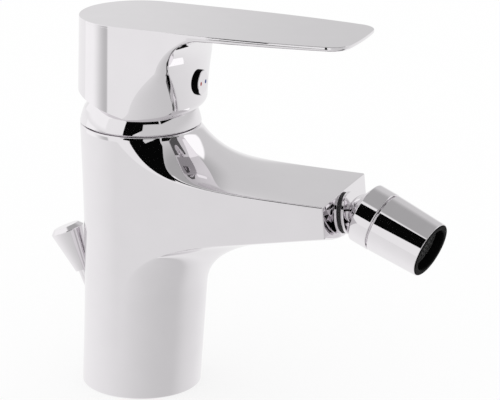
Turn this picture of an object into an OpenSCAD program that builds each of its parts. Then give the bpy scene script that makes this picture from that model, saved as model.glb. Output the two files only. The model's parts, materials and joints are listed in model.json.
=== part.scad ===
// Single-lever bidet mixer with a ball-jointed aerator nozzle and a pop-up lift rod.
// Millimetres. The origin is the centre of the base on the deck, +X points along the spout, +Z is up.

/* [Body] */
// Diameter of the base and of the body's rim
base_d = 48; // [46:0.5:52]
// Height of the body's rim above the deck
rim_z = 108.5; // [106:0.5:114]
// Inward bow of the trunk's back at half height
back_bow = 1.6; // [0:0.1:2.4]
// Forward lean of the trunk's front, in degrees
front_lean = 3.7; // [2:0.1:5]
// Rounding of the rim's outer edge
rim_round = 1; // [0.4:0.1:1.4]
// Chamfer of the base's outer edge
base_chamfer = 0.4; // [0.2:0.1:0.8]
// Wall of the hollow base
base_wall = 3.5; // [3:0.1:4.5]
// Depth of the hollow base
hollow_h = 40; // [36:0.5:42]

/* [Spout] */
// Distance from the body's axis to the middle of the spout's end face
spout_reach = 85.8; // [82:0.2:94]
// Height of the spout's flat top at its end
spout_top_z = 91; // [90:0.5:94]
// Height of the spout's lower corners at its end
spout_low_z = 78.4; // [76:0.2:79]
// Rise of the spout's underside, in degrees
spout_rise = 11.6; // [10:0.2:13]
// Upward tilt of the spout's end face, in degrees
end_tilt = 6; // [3:0.5:7]
// Length over which the rim flares down into the spout's top
flare_len = 13.6; // [11:0.2:16]
// Height at which the trunk starts to curve into the spout
arch_low_z = 42; // [38:1:46]
// Distance along the underside at which that curve ends
arch_reach = 40; // [34:1:46]
// Power that flattens the spout's underside across: 1 is as round as the trunk
belly_power = 2.4; // [1.4:0.1:3]
// Radius of the waterway
way_r = 4.5; // [3.5:0.1:4.8]
// Spacing of the waterway's two edges inside the spout
way_w = 22; // [14:1:26]

/* [Inlets and fixing] */
// Wall radius of the hose inlets, tapped M10 x 1
inlet_r = 4.5; // [4.3:0.1:4.8]
// Depth of the tapped inlets
inlet_h = 10; // [8:0.5:10.5]
// Distance of each inlet from the mid plane
inlet_y = 9.5; // [9.2:0.1:10]
// Place of the inlets along the spout's direction
inlet_x = 3.5; // [3:0.1:4]
// Wall radius of the hole for the fixing stud, tapped M8
stud_r = 3.4; // [3:0.1:3.6]
// Depth of the stud's hole
stud_h = 11; // [8:0.5:11.5]
// Place of the stud's hole along the spout's direction
stud_x = 14; // [13.5:0.1:15]
// Width of the deck gasket
gasket_w = 1.6; // [1.2:0.1:1.8]
// Thickness of the deck gasket
gasket_t = 1.6; // [1.2:0.1:2.4]

/* [Cartridge] */
// Radius of the cartridge's housing
cart_r = 17.2; // [16.8:0.1:17.4]
// Wall of the housing
cart_wall = 2.15; // [1.8:0.05:2.4]
// Depth of the lever's pivot below the rim
pivot_depth = 8.5; // [8:0.1:9]
// Thickness of the cartridge's base
cart_base_t = 5; // [4.5:0.1:6]
// Thickness of the fixed ceramic disc
fixed_disc_t = 5; // [4:0.1:5.5]
// Thickness of the moving ceramic disc
moving_disc_t = 4; // [3.5:0.1:4.5]
// Radius of the moving disc and its carrier
disc_r = 11.3; // [10.9:0.1:11.5]
// Height of the disc carrier
carrier_h = 6; // [5.6:0.1:6.4]
// Radius of the water ports
port_r = 3.2; // [2.8:0.1:3.4]
// Place of the outlet port behind the axis
outlet_x = 9; // [8.5:0.1:9.5]
// Side of the square spindle
spindle_w = 8; // [7:0.1:8.4]
// Length of the spindle above its pivot
spindle_h = 41; // [37:0.5:42]
// Length of the spindle's arm below its pivot
spindle_arm = 9; // [8.6:0.1:9.2]
// Radius of the spindle's ball end
spindle_ball_r = 2.7; // [2.4:0.1:2.8]
// Radius of the spindle's pin
pin_r = 1.5; // [1.2:0.1:1.8]
// Full travel of the lever from closed to open, in degrees
lever_travel = 24; // [20:1:25]

/* [Cap] */
// Width of the rim's land round the cap
rim_land = 2.35; // [2:0.05:2.8]
// Depth of the cap's seat below the rim
cap_seat = 4.5; // [4:0.1:5]
// Open groove between the rim and the cap's dome
cap_groove = 0.6; // [0.4:0.1:0.8]
// Excess of the dome's radius over the body's
dome_over = 0.3; // [0:0.1:0.4]
// Depth of the dome's centre below the rim
dome_drop = 3.5; // [3:0.1:4]
// Thickness of the cap
cap_t = 1.2; // [1:0.1:1.4]
// Radius of the opening in the cap's dome
cap_hole_r = 12.5; // [12:0.1:14]

/* [Lever] */
// Radius of the lever's drum at its top
lever_r = 23.9; // [23.6:0.1:25]
// Outward draft of the drum from top to bottom
lever_draft = 0.8; // [0:0.1:1]
// Wall of the drum at its lower edge
lever_wall = 2.6; // [2.2:0.1:2.8]
// Height of the lever's lower edge above the body's rim
lever_up = 7.3; // [7:0.1:8.4]
// Height of the lever from its lower edge to its top
lever_h = 35.8; // [34.5:0.1:38]
// Reach of the lever from the axis to its tip
lever_reach = 91.6; // [86:0.2:98]
// Distance from the axis to the drum's front face
lever_front = 25; // [24.6:0.1:26.4]
// Curve radius of the drum's front face under the hollow
lever_front_r = 62; // [56:1:80]
// Curve radius of the drum's front face at its lower edge
drum_front_r = 40; // [38:1:50]
// Corner radius of the drum's front face at its lower edge
drum_corner = 11.5; // [9:0.5:12]
// Curve radius of the tip's end edge
lever_tip_r = 150; // [110:5:200]
// Corner radius of the tip
lever_tip_corner = 7; // [5:0.5:9]
// Narrowing of each side from the drum to the tip
lever_taper = 3.9; // [2:0.1:5]
// Distance from the axis at which the narrowing starts
lever_taper_x = 30; // [26:1:36]
// Thickness of the plate at its tip
lever_tip_t = 1.8; // [1.6:0.1:2.6]
// Thickness of the plate where it leaves the drum
lever_root_t = 2.6; // [2.2:0.1:3.4]
// Thickness of the drum's roof
lever_roof = 4.6; // [4:0.1:5]
// Radius of the hollow under the plate
lever_fillet = 14; // [12:0.2:15]
// Rounding of the drum's front lower edge
lever_chin = 3; // [2:0.5:3.5]
// Rise of the drum's lower edge towards the back, as a slope
lever_heel = 0.25; // [0.2:0.01:0.3]
// Radius of the hub that takes the spindle
hub_r = 8; // [7.4:0.1:8.6]
// Radius of the index plug
plug_r = 5; // [4.4:0.1:5.4]
// How far the index plug stands out
plug_out = 1.6; // [1.2:0.1:2.2]
// Height of the index plug above the lever's lower edge
plug_up = 11.2; // [11:0.1:12]
// Radius of the handle screw, M5
screw_r = 2.5; // [2:0.1:2.8]
// Length of the handle screw
screw_len = 9; // [7:0.5:10]
// Radius of the coloured index dots
dot_r = 0.8; // [0.6:0.1:1]

/* [Nozzle] */
// Radius of the ball
ball_r = 7.5; // [7.3:0.1:7.6]
// Distance from the spout's end face to the ball's centre
ball_gap = 8.8; // [8.6:0.1:10]
// Height of the ball stem at the spout's end face
stem_z = 82; // [81.6:0.1:82.6]
// Radius of the stem's neck
neck_r = 4; // [3.6:0.1:4]
// Bore of the stem
stem_bore_r = 2.6; // [2:0.1:2.8]
// Radius of the stem's threaded shank
shank_r = 6; // [5.6:0.1:6.2]
// Length of the shank
shank_len = 9; // [7:0.5:10]
// Radius of the stem's flange
flange_r = 8.2; // [7.6:0.1:8.4]
// Thickness of the stem's flange
flange_t = 1.2; // [1:0.1:1.4]
// Thickness of the washer behind the flange
washer_t = 0.8; // [0.6:0.1:1]
// Downward pitch of the nozzle as it stands, in degrees
nozzle_pitch = 19.3; // [10:0.1:20]
// Sideways turn of the nozzle as it stands, in degrees
nozzle_yaw = 9.9; // [0:0.1:10]
// Outer radius of the ball housing
nut_r = 12; // [11.8:0.1:12.6]
// Length of the housing from the ball's centre to its front edge
nut_len = 7.3; // [7:0.1:8.4]
// Width of the groove between housing and sleeve
groove_w = 0.5; // [0.3:0.1:0.8]
// Distance from the ball's centre to the sleeve's end
nozzle_len = 29.2; // [28:0.2:34]
// Outer radius of the sleeve at the groove
sleeve_r1 = 11.85; // [11.7:0.05:12.2]
// Outer radius of the sleeve at its end
sleeve_r2 = 11.1; // [11.1:0.05:11.7]
// Radius of the thread between housing and sleeve
thread_r = 10.6; // [10.4:0.05:10.7]
// Length of that thread
thread_len = 5.6; // [5:0.1:6.4]
// Length of the aerator insert
insert_len = 11.5; // [9:0.5:12]

/* [Lift rod] */
// Radius of the rod
rod_r = 2.25; // [2:0.05:2.4]
// Backward lean of the rod, in degrees
rod_lean = 24; // [22:0.5:25]
// Depth of the rod's axis inside the body's radius at the height below
rod_in = 2.2; // [1:0.1:2.2]
// Height at which that place is taken
rod_z = 34; // [32:0.5:36]
// Wall of the guide bush
bush_wall = 0.8; // [0.6:0.1:1]
// Length of the guide bush
bush_len = 11; // [8:0.5:12]
// Radius of the knob at its foot
knob_r1 = 3.3; // [2.9:0.1:3.3]
// Radius of the knob at its shoulder
knob_r2 = 6.95; // [6:0.05:8]
// Length of the knob
knob_len = 19; // [16:0.5:24]
// Chamfer of the knob's top
knob_chamfer = 1.7; // [1:0.1:2.2]
// Distance along the rod from the height above to the knob's foot
knob_at = 10; // [10:0.1:14]

/* [Clearances] */
// Running clearance between parts that turn in each other
run = 0.05; // [0.03:0.01:0.08]
// Clearance between parts that move past each other
slip = 0.2; // [0.15:0.01:0.3]
// Fit of parts that are assembled and stay put
seat_fit = 0.15; // [0.1:0.01:0.2]

/* [Hidden] */
$fn = 96;
cut = 1;
half_w = base_d / 2;
gasket_r = half_w - base_wall / 2;
rod_x = half_w - rod_in;

// Radii of the cap's seat, inwards from the rim, and of the cartridge's bores, outwards from its housing
cap_bore_r = half_w - rim_land;
cap_r = cap_bore_r - seat_fit;
dome_r = half_w + dome_over;
cart_gap = 0.3;
nut_wall = 2.35;
cart_bore = cart_r + cart_gap;
thread_bore_r = cart_bore + nut_wall + seat_fit;

// The outer form of the body: U-shaped level slices, whose round front is shifted along the spout
front_segments = 32;
back_segments = 32;
side_angle = 1.5;
flare_steps = 14;
arch_steps = 14;
end_margin = 8;
slice_end = spout_reach + end_margin;
lean = tan(front_lean);
rise = tan(spout_rise);
under_z0 = spout_low_z - rise * spout_reach;
corner_s = lean * under_z0 / (1 - lean * rise);
corner_z = under_z0 + rise * corner_s;
arch_end_z = under_z0 + rise * arch_reach;
flare_h = rim_z - rim_round - spout_top_z;

// Levels inside the body, stacked down from the rim
pivot_z = rim_z - pivot_depth;
rotor_drop = 6.7;
carrier_z1 = pivot_z - rotor_drop - slip;
carrier_z0 = carrier_z1 - carrier_h;
disc_z0 = carrier_z0 - moving_disc_t;
fixed_z0 = disc_z0 - fixed_disc_t;
seat_z = fixed_z0 - cart_base_t;
rotor_rise = 4.3;
lip_h = 2.2;
collar_drop = 6;
collar_t = 3;
collar_room = 2;
rotor_top_z = pivot_z + rotor_rise;
housing_top_z = rotor_top_z + lip_h;
collar_z = pivot_z - collar_drop;
thread_bore_z = collar_z - collar_room;
cap_z0 = rim_z - cap_seat;
nut_z0 = collar_z + collar_t;
nut_h = cap_z0 - slip - nut_z0;
dome_z = rim_z - dome_drop;
chamber_r = cart_r - cart_wall;
rotor_r = chamber_r - run;
neck_lip_r = 10.45;
key_y = 14.4;
key_r = 1.2;

// Waterway from the outlet port to the ball stem
way_drop = 20;
way_z0 = seat_z - way_drop;
end_x = spout_reach + (spout_top_z - stem_z) * tan(end_tilt) / 2;
stem_dir = [cos(end_tilt), 0, sin(end_tilt)];
ball_c = [end_x, 0, stem_z] + ball_gap * stem_dir;
way_end = [end_x, 0, stem_z] - shank_len * stem_dir;
way_span = way_end - [-outlet_x, 0, way_z0];
way_angle = atan2(way_span[2], way_span[0]);

// Spindle and lever: at rest the spindle leans forward by half of its travel
rest_lean = lever_travel / 2;
disc_shift = -spindle_arm * sin(rest_lean);
spindle_shoulder = 3.4;
pocket_x = -1.8;
pocket_land = 1.5;
lever_z0 = rim_z + lever_up;
lever_z1 = lever_z0 + lever_h;
lever_bore_r = lever_r + lever_draft - lever_wall;
sweep_r = norm([lever_bore_r, lever_z0 - pivot_z]) - 0.45;
plate_root_z = lever_z1 - lever_root_t;
plate_tip_z = lever_z1 - lever_tip_t;
fillet_z = plate_root_z - lever_fillet;
dome_gap = 1.8;
lever_edge = 0.5;
lever_corner = 3.5;
plug_z = lever_z0 + plug_up;
plug_depth = 3;
plug_foot = lever_front - plug_depth;
hub_low = sweep_r + 1.2;
hub_top = (lever_z1 - lever_roof - pivot_z) / cos(rest_lean) + 1;
screw_rise = tan(rest_lean);

// Nozzle, along its own axis from the ball's centre
lip_t = -3.1;
seat_r0 = ball_r + run;
seat_r1 = seat_r0 + 0.85;
backing_r0 = seat_r1 + run;
nut_bore_r = 9.3;
backing_r1 = nut_bore_r - run;
backing_t0 = 1;
backing_t1 = 6.4;
retainer_t = 1.8;
retainer_t1 = backing_t1 + retainer_t;
nut_shoulder_t = -0.46;
spigot_t1 = nut_len + thread_len;
sleeve_t0 = nut_len + groove_w;
gasket_t1 = spigot_t1 + 1.6;
insert_r = 9.7;
insert_t1 = gasket_t1 + insert_len;
outlet_ring_r = sleeve_r2 - 0.35;
outlet_bore_r = 8.4;
screen_t = 0.8;

// Lift rod
rod_low = -36;
boss_r = rod_r + bush_wall + 2;
bush_top = -2;
knob_top_r = knob_r2 - knob_chamfer;

// Closed solid through a stack of level rings that all have the same number of points
module loft(rings) {
  n = len(rings[0]);
  top = len(rings) - 1;
  points = [for (ring = rings) each ring];
  walls = [
    for (k = [0:top - 1], i = [0:n - 1])
      let (j = (i + 1) % n, a = k * n, b = a + n)
        each [[a + i, b + i, b + j], [a + i, b + j, a + j]]
  ];
  floor_face = [for (i = [0:n - 1]) i];
  roof_face = [for (i = [n - 1:-1:0]) top * n + i];
  polyhedron(points, concat([floor_face], walls, [roof_face]), convexity = 8);
}

// One U-shaped slice of the body: half width w, front shifted by s, level z, roundness power of the front
function back_depth(w, z) = w - back_bow * sin(180 * z / rim_z);
function body_slice(w, s, z, power = 1) = concat(
  [for (i = [0:front_segments])
    let (a = -90 + 180 * i / front_segments) [s + w * cos(a) ^ power, w * sin(a), z]],
  [for (i = [0:back_segments])
    let (a = i == 0 ? 90 + side_angle : i == back_segments ? 270 - side_angle : 90 + 180 * i / back_segments)
      [back_depth(w, z) * cos(a), w * sin(a), z]]
);

// Smooth curve from the trunk's front into the spout's underside, as shift and level
function arch_point(t) =
  (1 - t) ^ 2 * [lean * arch_low_z, arch_low_z]
  + 2 * t * (1 - t) * [corner_s, corner_z]
  + t ^ 2 * [arch_reach, arch_end_z];
function flare_z(s) = spout_top_z + flare_h * exp(-s / flare_len);
function belly(t) = mix(1, belly_power, t ^ 2 * (3 - 2 * t));

module body_form() {
  trunk = [for (z = [base_chamfer, arch_low_z / 2]) body_slice(half_w, lean * z, z)];
  arch = [for (k = [0:arch_steps])
    let (t = k / arch_steps, p = arch_point(t)) body_slice(half_w, p[0], p[1], belly(t))];
  under = [body_slice(half_w, slice_end, under_z0 + rise * slice_end, belly_power)];
  flare = [for (k = [0:flare_steps])
    let (s = slice_end * (1 - k / flare_steps) ^ 2) body_slice(half_w, s, flare_z(s))];
  rim = [for (a = [30, 60, 90])
    body_slice(half_w - rim_round * (1 - cos(a)), 0, rim_z - rim_round * (1 - sin(a)))];
  loft(concat([body_slice(half_w - base_chamfer, 0, 0)], trunk, arch, under, flare, rim));
}

// Everything behind the spout's end plane, which tilts about its top edge's middle
module behind_end_plane() {
  translate([end_x, 0, stem_z])
    rotate([0, -end_tilt, 0])
      translate([-4 * base_d, -base_d, -2 * rim_z])
        cube([4 * base_d, 2 * base_d, 4 * rim_z]);
}

// Places its children along the ball stem, with z = 0 on the spout's end face
module along_stem() {
  translate([end_x, 0, stem_z])
    rotate([0, 90 - end_tilt, 0])
      children();
}

// Places its children along the lift rod, with z = 0 at its reference height
module along_rod() {
  translate([-rod_x, 0, rod_z])
    rotate([0, -rod_lean, 0])
      children();
}

// Places its children along the nozzle as it stands, with z = 0 at the ball's centre
module along_nozzle() {
  translate(ball_c)
    rotate([0, 0, -nozzle_yaw])
      rotate([0, 90 + nozzle_pitch, 0])
        children();
}

// Places its children along the spindle as it stands, with z = 0 at its pivot
module along_spindle() {
  translate([0, 0, pivot_z])
    rotate([0, rest_lean, 0])
      children();
}

// Plain ring standing on z = z0
module ring(r0, r1, z0, z1) {
  translate([0, 0, z0])
    difference() {
      cylinder(r = r1, h = z1 - z0);
      translate([0, 0, -cut])
        cylinder(r = r0, h = z1 - z0 + 2 * cut);
    }
}

module port_places() {
  for (y = [-inlet_y, inlet_y])
    translate([inlet_x, y, 0])
      children();
  translate([-outlet_x, 0, 0])
    children();
}

// Hollow of the base, with a boss left standing round the lift rod
module base_hollow() {
  difference() {
    translate([0, 0, -cut])
      cylinder(r = half_w - base_wall, h = hollow_h + cut);
    along_rod()
      translate([0, 0, bush_top - bush_len - 1])
        cylinder(r = boss_r, h = 4 * bush_len);
  }
}

// Water from the outlet port, under the cartridge's seat and along the spout
module waterway() {
  translate([-outlet_x, 0, way_z0])
    cylinder(r = port_r, h = seat_z - way_z0 + cut);
  translate([-outlet_x, 0, way_z0]) {
    sphere(r = way_r);
    rotate([0, 90 - way_angle, 0])
      cylinder(r = way_r, h = norm(way_span));
  }
  wide_from = half_w + way_r + outlet_x;
  wide_to = norm(way_span) - way_r;
  translate([-outlet_x, 0, way_z0])
    rotate([0, 90 - way_angle, 0])
      translate([0, 0, wide_from]) {
        translate([-way_r, -way_w / 2, 0])
          cube([2 * way_r, way_w, wide_to - wide_from]);
        for (y = [-way_w / 2, way_w / 2])
          translate([0, y, 0])
            cylinder(r = way_r, h = wide_to - wide_from);
      }
}

module cartridge_bore() {
  translate([0, 0, seat_z])
    cylinder(r = cart_bore, h = rim_z);
  translate([0, 0, thread_bore_z])
    cylinder(r = thread_bore_r, h = cap_z0 - thread_bore_z);
  translate([0, 0, cap_z0])
    cylinder(r = cap_bore_r, h = rim_z);
  for (y = [-key_y, key_y])
    translate([0, y, seat_z - key_r])
      cylinder(r = key_r, h = key_r + cut);
}

module body_casting() {
  color("silver")
    difference() {
      intersection() {
        body_form();
        behind_end_plane();
      }
      base_hollow();
      ring(gasket_r - gasket_w / 2, gasket_r + gasket_w / 2, -cut, gasket_t);
      along_rod()
        translate([0, 0, bush_top - bush_len - 2])
          cylinder(r = rod_r + bush_wall, h = 4 * bush_len);
      for (y = [-inlet_y, inlet_y])
        translate([inlet_x, y, 0]) {
          translate([0, 0, hollow_h - cut])
            cylinder(r = inlet_r, h = inlet_h + cut);
          translate([0, 0, hollow_h])
            cylinder(r = port_r, h = seat_z - hollow_h + cut);
        }
      translate([stud_x, 0, hollow_h - cut])
        cylinder(r = stud_r, h = stud_h + cut);
      waterway();
      cartridge_bore();
      along_stem()
        translate([0, 0, -shank_len])
          cylinder(r = shank_r, h = shank_len + cut);
    }
}

module deck_gasket() {
  color("dimgray")
    ring(gasket_r - gasket_w / 2, gasket_r + gasket_w / 2, 0, gasket_t);
}

module rod_bush() {
  color("whitesmoke")
    along_rod()
      ring(rod_r + run, rod_r + bush_wall, bush_top - bush_len, bush_top);
}

// Inner and outer radius of the seals round the ports
seal_r0 = port_r + 0.3;
seal_r1 = port_r + 1.7;
seal_t = 1.5;

module cartridge_base() {
  color("whitesmoke")
    difference() {
      union() {
        translate([0, 0, seat_z])
          cylinder(r = cart_r, h = cart_base_t);
        for (y = [-key_y, key_y])
          translate([0, y, seat_z - key_r])
            cylinder(r = key_r, h = 2 * key_r);
      }
      port_places() {
        translate([0, 0, seat_z - cut])
          cylinder(r = port_r, h = cart_base_t + 2 * cut);
        ring(seal_r0, seal_r1, seat_z - cut, seat_z + seal_t);
      }
    }
}

module port_seals() {
  color("black")
    port_places()
      ring(seal_r0, seal_r1, seat_z, seat_z + seal_t);
}

module fixed_disc() {
  color("ivory")
    difference() {
      translate([0, 0, fixed_z0])
        cylinder(r = chamber_r - run, h = fixed_disc_t);
      port_places()
        translate([0, 0, fixed_z0 - cut])
          cylinder(r = port_r, h = fixed_disc_t + 2 * cut);
    }
}

module cartridge_housing() {
  color("white")
    difference() {
      union() {
        translate([0, 0, fixed_z0])
          cylinder(r = cart_r, h = housing_top_z - fixed_z0);
        translate([0, 0, collar_z])
          cylinder(r = cart_r + 1.7, h = collar_t);
      }
      translate([0, 0, fixed_z0 - cut])
        cylinder(r = chamber_r, h = rotor_top_z + slip - fixed_z0 + cut);
      translate([0, 0, rotor_top_z])
        cylinder(r = neck_lip_r, h = rim_z);
    }
}

module cartridge_nut() {
  slot_w = 5;
  slot_h = 3;
  color("goldenrod")
    difference() {
      ring(cart_bore, thread_bore_r - seat_fit, nut_z0, nut_z0 + nut_h);
      for (a = [0, 90])
        rotate([0, 0, a])
          translate([-rim_z, -slot_w / 2, nut_z0 + nut_h - slot_h])
            cube([2 * rim_z, slot_w, slot_h + cut]);
    }
}

// Groove and ring that seal the cap's skirt in the rim
cap_seal_h = 1.6;
cap_seal_z = cap_z0 + 1.2;
cap_seal_r = cap_r - cap_t / 2;

// The cap's dome lies inside the lever's sweep about its pivot, from just under the lever upwards
module dome(inset) {
  intersection() {
    translate([0, 0, dome_z])
      sphere(r = dome_r - inset);
    union() {
      translate([0, 0, pivot_z])
        sphere(r = sweep_r - inset);
      translate([0, 0, cap_z0 - cut])
        cylinder(r = 2 * dome_r, h = lever_z0 - dome_gap - cap_z0 + cut);
    }
  }
}

module cap() {
  color("silver")
    difference() {
      union() {
        translate([0, 0, cap_z0])
          cylinder(r = cap_r, h = cap_seat + cap_groove + cap_t);
        intersection() {
          dome(0);
          translate([0, 0, rim_z + cap_groove])
            cylinder(r = 2 * dome_r, h = rim_z);
        }
      }
      intersection() {
        dome(cap_t);
        translate([0, 0, cap_z0 - cut])
          cylinder(r = cap_r - cap_t, h = rim_z);
      }
      translate([0, 0, cap_z0 - cut])
        cylinder(r = cap_hole_r, h = rim_z);
      ring(cap_seal_r, cap_r + cut, cap_seal_z, cap_seal_z + cap_seal_h);
    }
}

module cap_seal() {
  color("black")
    ring(cap_seal_r, cap_bore_r, cap_seal_z, cap_seal_z + cap_seal_h);
}

module ball_stem() {
  neck_to = ball_gap - sqrt(ball_r ^ 2 - neck_r ^ 2) + cut / 2;
  color("silver")
    along_stem()
      difference() {
        union() {
          translate([0, 0, -shank_len])
            cylinder(r = shank_r, h = shank_len + washer_t);
          translate([0, 0, washer_t])
            cylinder(r = flange_r, h = flange_t);
          translate([0, 0, washer_t])
            cylinder(r = neck_r, h = neck_to - washer_t);
          translate([0, 0, ball_gap])
            sphere(r = ball_r);
        }
        translate([0, 0, -shank_len - cut])
          cylinder(r = stem_bore_r, h = shank_len + ball_gap + 2 * ball_r);
      }
}

module stem_washer() {
  color("dimgray")
    along_stem()
      ring(shank_r, flange_r - 0.3, 0, washer_t);
}

module cartridge_rotor() {
  slot_x = 6.5;
  cheek_y = disc_r - 1.5;
  color("lightgray")
    difference() {
      union() {
        translate([0, 0, carrier_z0 + slip])
          cylinder(r = rotor_r, h = rotor_top_z - carrier_z0 - slip);
        translate([0, 0, rotor_top_z - cut])
          cylinder(r = neck_lip_r - run, h = housing_top_z - rotor_top_z + 2 + cut);
      }
      translate([-2 * rotor_r, -cheek_y, carrier_z0])
        cube([4 * rotor_r, 2 * cheek_y, carrier_h + slip]);
      translate([-slot_x, -spindle_w / 2 - slip, carrier_z0])
        cube([2 * slot_x, spindle_w + 2 * slip, rim_z]);
      translate([0, -2 * rotor_r, pivot_z])
        rotate([-90, 0, 0])
          cylinder(r = pin_r, h = 4 * rotor_r);
    }
}

module spindle_pin() {
  pin_len = 2 * (rotor_r - 2);
  color("gray")
    translate([0, -pin_len / 2, pivot_z])
      rotate([-90, 0, 0])
        cylinder(r = pin_r, h = pin_len);
}

module moving_disc() {
  pocket_h = 2.4;
  pocket_r = disc_r - pocket_land + pocket_x;
  color("ivory")
    translate([disc_shift, 0, disc_z0])
      difference() {
        cylinder(r = disc_r, h = moving_disc_t);
        translate([pocket_x, 0, -cut])
          cylinder(r = pocket_r, h = pocket_h + cut);
      }
}

module disc_carrier() {
  flat_y = disc_r - 1.5 - slip;
  socket_r = spindle_ball_r + 0.3;
  socket_floor = 1;
  color("whitesmoke")
    translate([disc_shift, 0, carrier_z0])
      difference() {
        intersection() {
          cylinder(r = disc_r, h = carrier_h);
          translate([-2 * disc_r, -flat_y, -cut])
            cube([4 * disc_r, 2 * flat_y, carrier_h + 2 * cut]);
        }
        translate([0, 0, socket_floor])
          cylinder(r = socket_r, h = carrier_h);
      }
}

module spindle() {
  neck = spindle_ball_r * 0.8;
  color("goldenrod")
    along_spindle()
      difference() {
        union() {
          translate([-spindle_w / 2, -spindle_w / 2, -spindle_shoulder])
            cube([spindle_w, spindle_w, spindle_h + spindle_shoulder]);
          translate([0, 0, -spindle_arm])
            cylinder(r = neck, h = spindle_arm);
          translate([0, 0, -spindle_arm])
            sphere(r = spindle_ball_r);
        }
        translate([0, -spindle_w, 0])
          rotate([-90, 0, 0])
            cylinder(r = pin_r + run, h = 2 * spindle_w);
      }
}

// Half width of the lever at distance x from the axis, from the drum's radius r
function lever_side(r, x) =
  r - lever_taper * (max(0, x - lever_taper_x) / (lever_reach - lever_tip_corner - lever_taper_x)) ^ 2;

// One level slice of the lever: drum radius r, front edge at x, curve and corner radius of that edge
lever_sides = 8;
lever_corners = 8;
lever_fronts = 6;
function sag(radius, y) = radius - sqrt(radius ^ 2 - y ^ 2);
function lever_half(r, x, curve, corner, z) =
  let (w = lever_side(r, x - corner), flat = w - corner)
    concat(
      [for (k = [0:lever_fronts - 1]) let (y = flat * k / lever_fronts) [x - sag(curve, y), y, z]],
      [for (k = [0:lever_corners])
        let (a = 90 * k / lever_corners, y = flat + corner * sin(a))
          [x - sag(curve, y) - corner * (1 - cos(a)), y, z]],
      [for (k = [1:lever_sides])
        let (x0 = x - sag(curve, w) - corner, xk = x0 * (1 - k / lever_sides)) [xk, lever_side(r, xk), z]]
    );
function mirrored(points) = [for (k = [len(points) - 1:-1:1]) [points[k][0], -points[k][1], points[k][2]]];
function lever_slice(r, x, curve, corner, z) =
  let (half = lever_half(r, x, curve, corner, z))
    concat(
      half,
      [for (k = [1:back_segments - 1])
        let (a = 90 + 180 * k / back_segments) [r * cos(a), r * sin(a), z]],
      mirrored(half)
    );

function drum_r(z) = lever_r + lever_draft * (lever_z1 - z) / lever_h;
function mix(a, b, t) = a + (b - a) * t;

// Slice of the drum, nearly round at its lower edge and cornered under the hollow
function drum_slice(z, inset) =
  let (t = ((z - lever_z0) / (fillet_z - lever_z0)) ^ 2)
    lever_slice(drum_r(z), lever_front - inset, mix(drum_front_r, lever_front_r, t),
      mix(drum_corner, lever_corner, t), z);

// Solid form of the lever: drum, hollow under the plate, plate and tip
module lever_form() {
  chin = [for (a = [0:18:90])
    drum_slice(lever_z0 + lever_chin * (1 - cos(a)), lever_chin * (1 - sin(a)))];
  drum = [for (t = [0.4, 0.6, 0.8]) drum_slice(mix(lever_z0, fillet_z, t), 0)];
  fillet = [for (a = [0:10:80])
    let (z = fillet_z + lever_fillet * sin(a))
      lever_slice(drum_r(z), lever_front + lever_fillet * (1 - cos(a)), lever_front_r,
        mix(lever_corner, lever_edge, sin(a)), z)];
  plate = [for (t = [0:0.25:1])
    let (
      x = mix(lever_front + lever_fillet, lever_reach - lever_edge, t),
      z = mix(plate_root_z, plate_tip_z, t),
      curve = mix(lever_front_r, lever_tip_r, t),
      corner = mix(lever_edge, lever_tip_corner, t)
    )
      lever_slice(drum_r(z), x, curve, corner, z)];
  edge = [for (p = [[0, plate_tip_z + lever_edge], [0, lever_z1 - lever_edge], [lever_edge, lever_z1]])
    lever_slice(drum_r(p[1]) - p[0], lever_reach - p[0], lever_tip_r, lever_tip_corner, p[1])];
  loft(concat(chin, drum, fillet, plate, edge));
}

// Wedge that lifts the drum's lower edge towards the back, to clear the rim when the lever is raised
module heel_cut() {
  heel_x = 4;
  deep = 3 * lever_r;
  rotate([90, 0, 0])
    linear_extrude(height = 4 * lever_r, center = true)
      polygon([
        [heel_x, lever_z0],
        [heel_x - deep, lever_z0 + lever_heel * deep],
        [heel_x - deep, lever_z0 - deep],
        [heel_x, lever_z0 - deep]
      ]);
}

// Places its children along the handle screw, with z = 0 at the plug's foot and z into the hub
module along_screw() {
  translate([plug_foot, 0, plug_z])
    rotate([0, -90 + rest_lean, 0])
      children();
}

// Distance from the plug's foot to the face of the spindle, and from there to the screw's head
screw_reach = (plug_foot - (plug_z - pivot_z) * screw_rise) * cos(rest_lean) - spindle_w / 2;

module lever_handle() {
  color("silver")
    difference() {
      lever_form();
      heel_cut();
      difference() {
        translate([0, 0, lever_z0 - cut])
          cylinder(r = lever_bore_r, h = lever_h - lever_roof + cut);
        along_spindle()
          translate([0, 0, hub_low])
            cylinder(r = hub_r, h = hub_top - hub_low);
        along_screw()
          cylinder(r = screw_r + 1.2, h = screw_reach);
      }
      along_spindle()
        translate([-spindle_w / 2 - run, -spindle_w / 2 - run, 0])
          cube([spindle_w + 2 * run, spindle_w + 2 * run, spindle_h + run]);
      translate([plug_foot, 0, plug_z])
        rotate([0, 90, 0])
          cylinder(r = plug_r + run, h = lever_reach);
      along_screw()
        cylinder(r = screw_r, h = screw_reach + cut);
    }
}

module handle_screw() {
  key_d = 2.5;
  key_h = 3;
  color("gray")
    along_screw()
      translate([0, 0, screw_reach - screw_len - run])
        difference() {
          cylinder(r = screw_r, h = screw_len);
          translate([0, 0, -cut])
            cylinder(d = key_d / cos(30), h = key_h + cut, $fn = 6);
        }
}

// Places its children on the plug's axis, with z = 0 at its foot and z out of the lever
module along_plug() {
  translate([plug_foot, 0, plug_z])
    rotate([0, 90, 0])
      children();
}

dot_y = 2.2;
dot_depth = 0.8;
plug_len = plug_depth + plug_out;

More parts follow.
